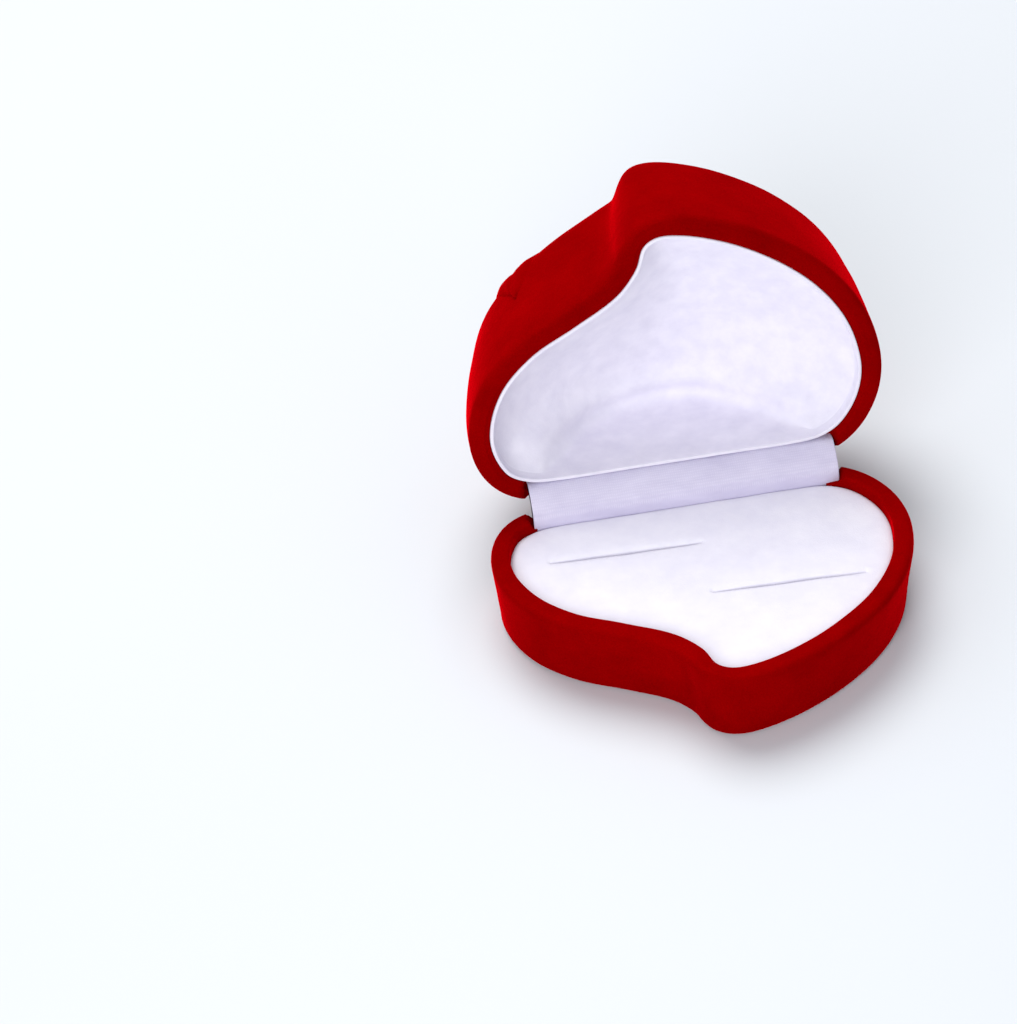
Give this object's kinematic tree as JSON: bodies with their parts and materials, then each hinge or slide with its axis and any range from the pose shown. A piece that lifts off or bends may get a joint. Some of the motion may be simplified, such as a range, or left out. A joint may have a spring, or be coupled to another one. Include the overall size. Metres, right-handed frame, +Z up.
{
  "type": "trinket box",
  "caption": "Heart-shaped flocked jewellery box with a hinged domed lid, satin-lined lid, slotted ring cushion and a rose with leaves on the lid.",
  "frame": {"origin": "centre of the base's flat underside, under the middle of the heart's width", "axes": "+Z up, +X to the right seen from the front, +Y to the back, where the hinge is; the rest pose is the lid open at 100 degrees"},
  "size_m": [0.0669, 0.0785, 0.0584],
  "materials": {
    "red_flock": "velvet flocking",
    "white_satin": "satin",
    "white_cushion": "matte flocked foam",
    "hinge_cloth": "satin cloth",
    "grey_card": "matte card",
    "steel": "plated steel"
  },
  "bodies": {
    "base": {"base_shell": "red_flock", "pad_card": "grey_card", "ring_pad": "white_cushion", "hinge_base_leaf": "steel", "hinge_rivet_base_left": "steel", "hinge_rivet_base_right": "steel", "hinge_pin": "steel", "hinge_spring": "steel", "hinge_cover": "hinge_cloth"},
    "lid": {"lid_shell": "red_flock", "lid_liner": "white_satin", "hinge_lid_leaf": "steel", "hinge_rivet_lid_left": "steel", "hinge_rivet_lid_right": "steel", "rose_bloom": "red_flock", "rose_leaf_left": "red_flock", "rose_leaf_right": "red_flock"}
  },
  "joints": [
    {"name": "lid_hinge", "type": "hinge", "parent": "base", "child": "lid", "pos_m": [0, 0.0234, 0.01305], "axis": [1, 0, 0], "range_deg": [0, 100], "deforming": ["hinge_cover", "hinge_spring"]}
  ]
}
